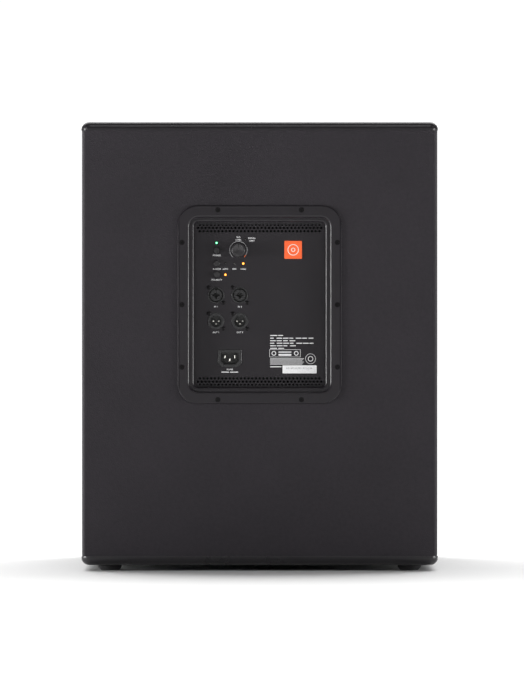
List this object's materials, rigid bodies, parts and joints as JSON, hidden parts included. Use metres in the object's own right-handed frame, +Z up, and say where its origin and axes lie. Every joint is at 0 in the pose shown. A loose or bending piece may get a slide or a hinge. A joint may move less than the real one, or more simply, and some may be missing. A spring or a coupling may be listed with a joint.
{
  "type": "powered subwoofer",
  "caption": "Powered bass-reflex subwoofer: black wooden cabinet, end caps, front grille, pocket handles, pole socket and a recessed rear amplifier with knob, buttons and sockets.",
  "frame": {"origin": "centre of the footprint on the surface that the feet stand on", "axes": "+Z up, the grille faces -Y, the amplifier panel faces +Y, +X is right as seen from the front"},
  "size_m": [0.487, 0.585, 0.614],
  "materials": {
    "cabinet_paint": "fine textured matt black paint on plywood",
    "raw_wood": "unfinished plywood",
    "cap_plastic": "moulded black plastic",
    "foot_rubber": "black rubber",
    "handle_plastic": "moulded black plastic",
    "pole_steel": "black painted steel",
    "black_screw": "blackened steel",
    "grille_steel": "black powder-coated steel",
    "grille_foam": "open-cell black foam",
    "port_plastic": "moulded black plastic",
    "basket_metal": "black coated cast aluminium",
    "gasket_foam": "closed-cell gasket",
    "plated_steel": "zinc-plated steel",
    "ferrite": "sintered ferrite",
    "cone_paper": "pressed black paper pulp",
    "surround_rubber": "treated cloth and rubber",
    "spider_cloth": "resin-treated cloth",
    "coil_copper": "enamelled copper wire on a former",
    "tray_plastic": "moulded black plastic, fine texture",
    "panel_paint": "black powder-coated steel",
    "heatsink_metal": "bare aluminium extrusion",
    "circuit_board": "green glass-epoxy board",
    "board_parts": "sleeved capacitors, wound parts and packages",
    "knob_plastic": "soft-touch black plastic",
    "button_plastic": "black plastic",
    "led_green": "lit green lens",
    "led_amber": "lit amber lens",
    "led_dark": "unlit lens",
    "jack_plastic": "black glass-filled plastic",
    "pin_metal": "nickel-plated contact",
    "badge_orange": "orange satin enamel",
    "cable_sheath": "black sheath"
  },
  "bodies": {
    "cabinet": {"side_panel_left": "cabinet_paint", "side_panel_right": "cabinet_paint", "top_panel": "raw_wood", "bottom_panel": "raw_wood", "back_panel": "cabinet_paint", "front_baffle": "cabinet_paint", "window_brace": "raw_wood", "top_cap": "cap_plastic", "bottom_cap": "cap_plastic", "rubber_feet": "foot_rubber", "foot_screws": "black_screw", "handle_cup_left": "handle_plastic", "handle_cup_right": "handle_plastic", "pole_socket": "pole_steel", "cabinet_screws": "black_screw", "grille": "grille_steel", "grille_foam": "grille_foam", "grille_screws": "black_screw", "port_tube_left": "port_plastic", "port_tube_right": "port_plastic", "woofer_frame": "basket_metal", "woofer_gasket": "gasket_foam", "woofer_screws": "black_screw", "woofer_top_plate": "plated_steel", "woofer_magnet": "ferrite", "woofer_back_plate": "plated_steel", "woofer_surround": "surround_rubber", "woofer_spider": "spider_cloth", "woofer_terminals": "jack_plastic", "amp_tray": "tray_plastic", "amp_tray_gasket": "gasket_foam", "amp_tray_screws": "black_screw", "amp_panel": "panel_paint", "amp_housing": "plated_steel", "panel_screws": "black_screw", "heatsink": "heatsink_metal", "amplifier_board": "circuit_board", "board_components": "board_parts", "signal_boards": "circuit_board", "volume_potentiometer": "plated_steel", "push_switches": "button_plastic", "connector_pins": "pin_metal", "mains_inlet": "jack_plastic", "badge_plate": "badge_orange", "speaker_cable": "cable_sheath", "power_led": "led_green", "amber_leds": "led_amber", "unlit_leds": "led_dark", "combo_jack_1": "jack_plastic", "combo_jack_2": "jack_plastic", "xlr_outlet_1": "jack_plastic", "xlr_outlet_2": "jack_plastic"},
    "volume_dial": {"volume_knob": "knob_plastic", "volume_shaft": "plated_steel"},
    "power_push": {"power_button": "button_plastic"},
    "crossover_push": {"crossover_button": "button_plastic"},
    "polarity_push": {"polarity_button": "button_plastic"},
    "woofer_diaphragm": {"woofer_cone": "cone_paper", "woofer_dust_cap": "cone_paper", "woofer_voice_coil": "coil_copper"}
  },
  "joints": [
    {"name": "volume_turn", "type": "hinge", "parent": "cabinet", "child": "volume_dial", "pos_m": [0.029, 0.2785, 0.438], "axis": [0, 1, 0], "range_deg": [-150, 150]},
    {"name": "power_press", "type": "slide", "parent": "cabinet", "child": "power_push", "axis": [0, -1, 0], "range_m": [0, 0.0015], "stiffness_N_per_m": 900, "springref_m": -0.001},
    {"name": "crossover_press", "type": "slide", "parent": "cabinet", "child": "crossover_push", "axis": [0, -1, 0], "range_m": [0, 0.0015], "stiffness_N_per_m": 900, "springref_m": -0.001},
    {"name": "polarity_press", "type": "slide", "parent": "cabinet", "child": "polarity_push", "axis": [0, -1, 0], "range_m": [0, 0.0015], "stiffness_N_per_m": 900, "springref_m": -0.001},
    {"name": "cone_excursion", "type": "slide", "parent": "cabinet", "child": "woofer_diaphragm", "axis": [0, -1, 0], "range_m": [-0.008, 0.008], "stiffness_N_per_m": 5000, "deforming": ["woofer_surround", "woofer_spider"]}
  ]
}
